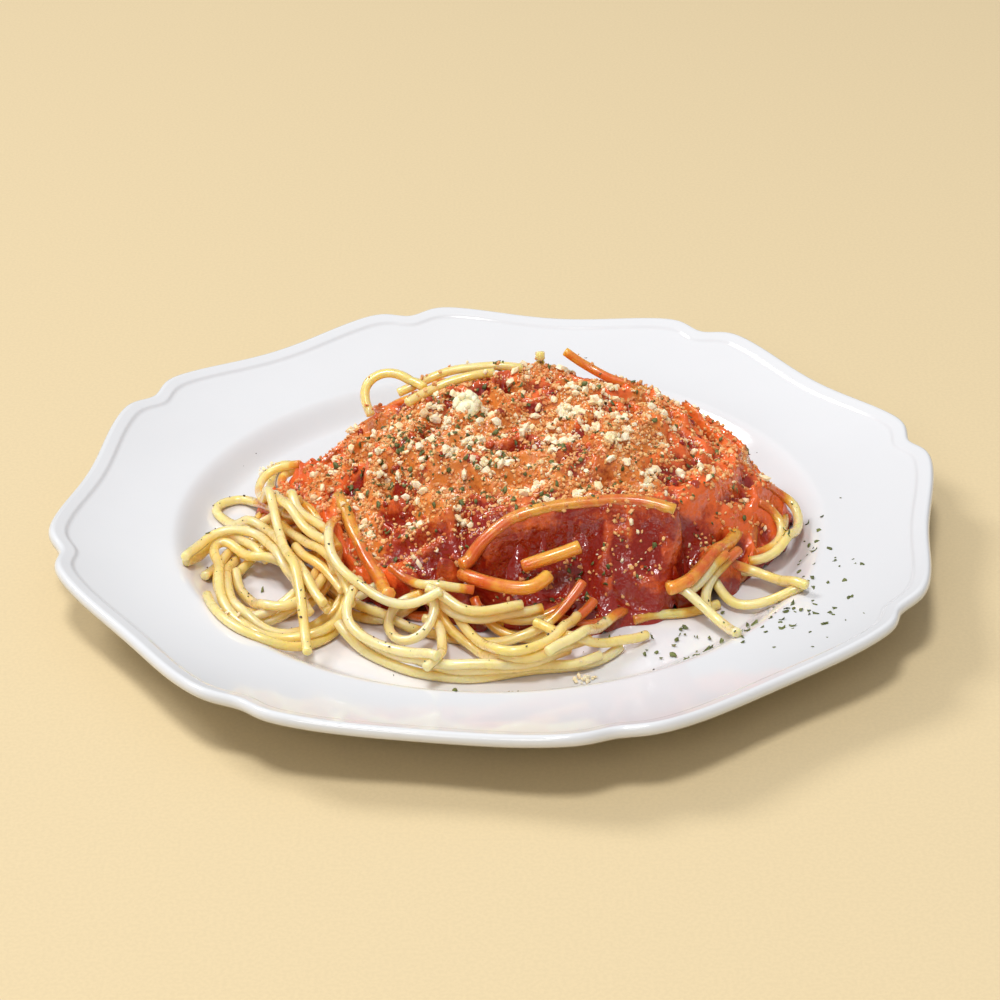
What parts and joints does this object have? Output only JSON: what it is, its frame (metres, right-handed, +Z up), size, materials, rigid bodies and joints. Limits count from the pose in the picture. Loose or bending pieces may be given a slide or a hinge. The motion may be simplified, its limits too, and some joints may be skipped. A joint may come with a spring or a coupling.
{
  "type": "spaghetti bolognese on a plate",
  "caption": "Heap of spaghetti topped with meat sauce, grated cheese and parsley on a white dinner plate with a bracket-shaped edge.",
  "frame": {"origin": "the middle of the plate's foot ring, on the table", "axes": "+Z up; the viewer stands on the -Y side and +X is to the viewer's right, with the loose coil of pasta on the -X side"},
  "size_m": [0.2714, 0.2714, 0.0563],
  "materials": {
    "plate_glaze": "glossy white glaze",
    "pasta": "moist, softly glossy cooked pasta",
    "meat_sauce": "wet, glossy tomato and meat sauce",
    "cheese": "dry, crumbly grated cheese"
  },
  "bodies": {
    "root": {"plate": "plate_glaze", "spaghetti": "pasta", "meat_sauce": "meat_sauce", "cheese_crumb": "cheese"}
  },
  "joints": []
}
